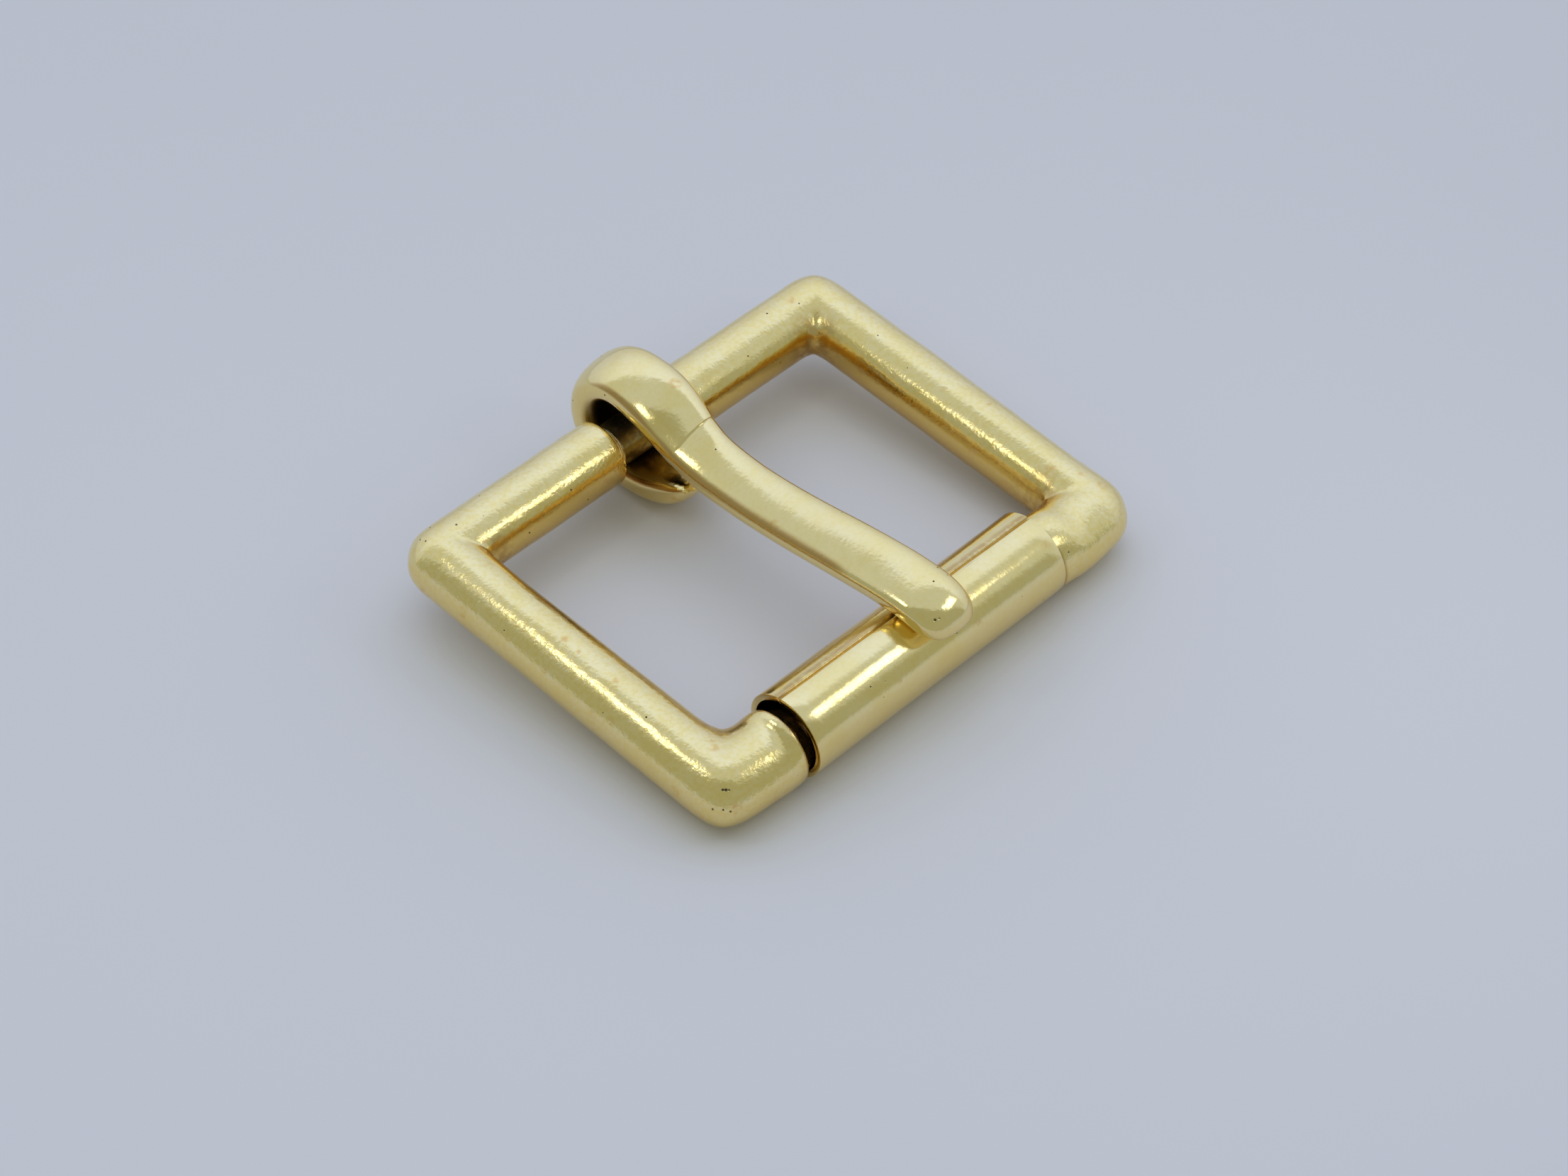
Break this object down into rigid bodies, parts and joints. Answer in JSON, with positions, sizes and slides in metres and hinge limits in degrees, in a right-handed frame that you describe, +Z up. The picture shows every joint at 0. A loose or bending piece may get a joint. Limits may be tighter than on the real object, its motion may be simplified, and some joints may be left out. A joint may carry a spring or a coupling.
{
  "type": "roller buckle",
  "caption": "Rectangular strap buckle of round cast bar, with a swinging tongue curled round the hinge bar and a free-turning tube on the opposite bar.",
  "frame": {"origin": "middle of the base on the surface that the buckle lies on", "axes": "+X along the hinge bar and the roller, which is the strap's width; -Y the way the tongue points, towards the roller; +Z up"},
  "size_m": [0.0422, 0.037, 0.0104],
  "materials": {
    "frame_brass": "polished cast brass with fine pits, soft scratches and a few specks of tarnish",
    "tongue_brass": "smooth polished brass, bright along its ridge",
    "roller_brass": "smooth rolled brass sheet, bright, darker inside"
  },
  "bodies": {
    "frame": {"frame": "frame_brass"},
    "tongue": {"tongue": "tongue_brass"},
    "roller": {"roller": "roller_brass"}
  },
  "joints": [
    {"name": "tongue_hinge", "type": "hinge", "parent": "frame", "child": "tongue", "pos_m": [0.0005, 0.01291, 0.00457], "axis": [-1, 0, 0], "range_deg": [0, 340]},
    {"name": "roller_spin", "type": "hinge", "parent": "frame", "child": "roller", "pos_m": [-0.00038, -0.01497, 0.0033], "axis": [1, 0, 0], "continuous": true}
  ]
}
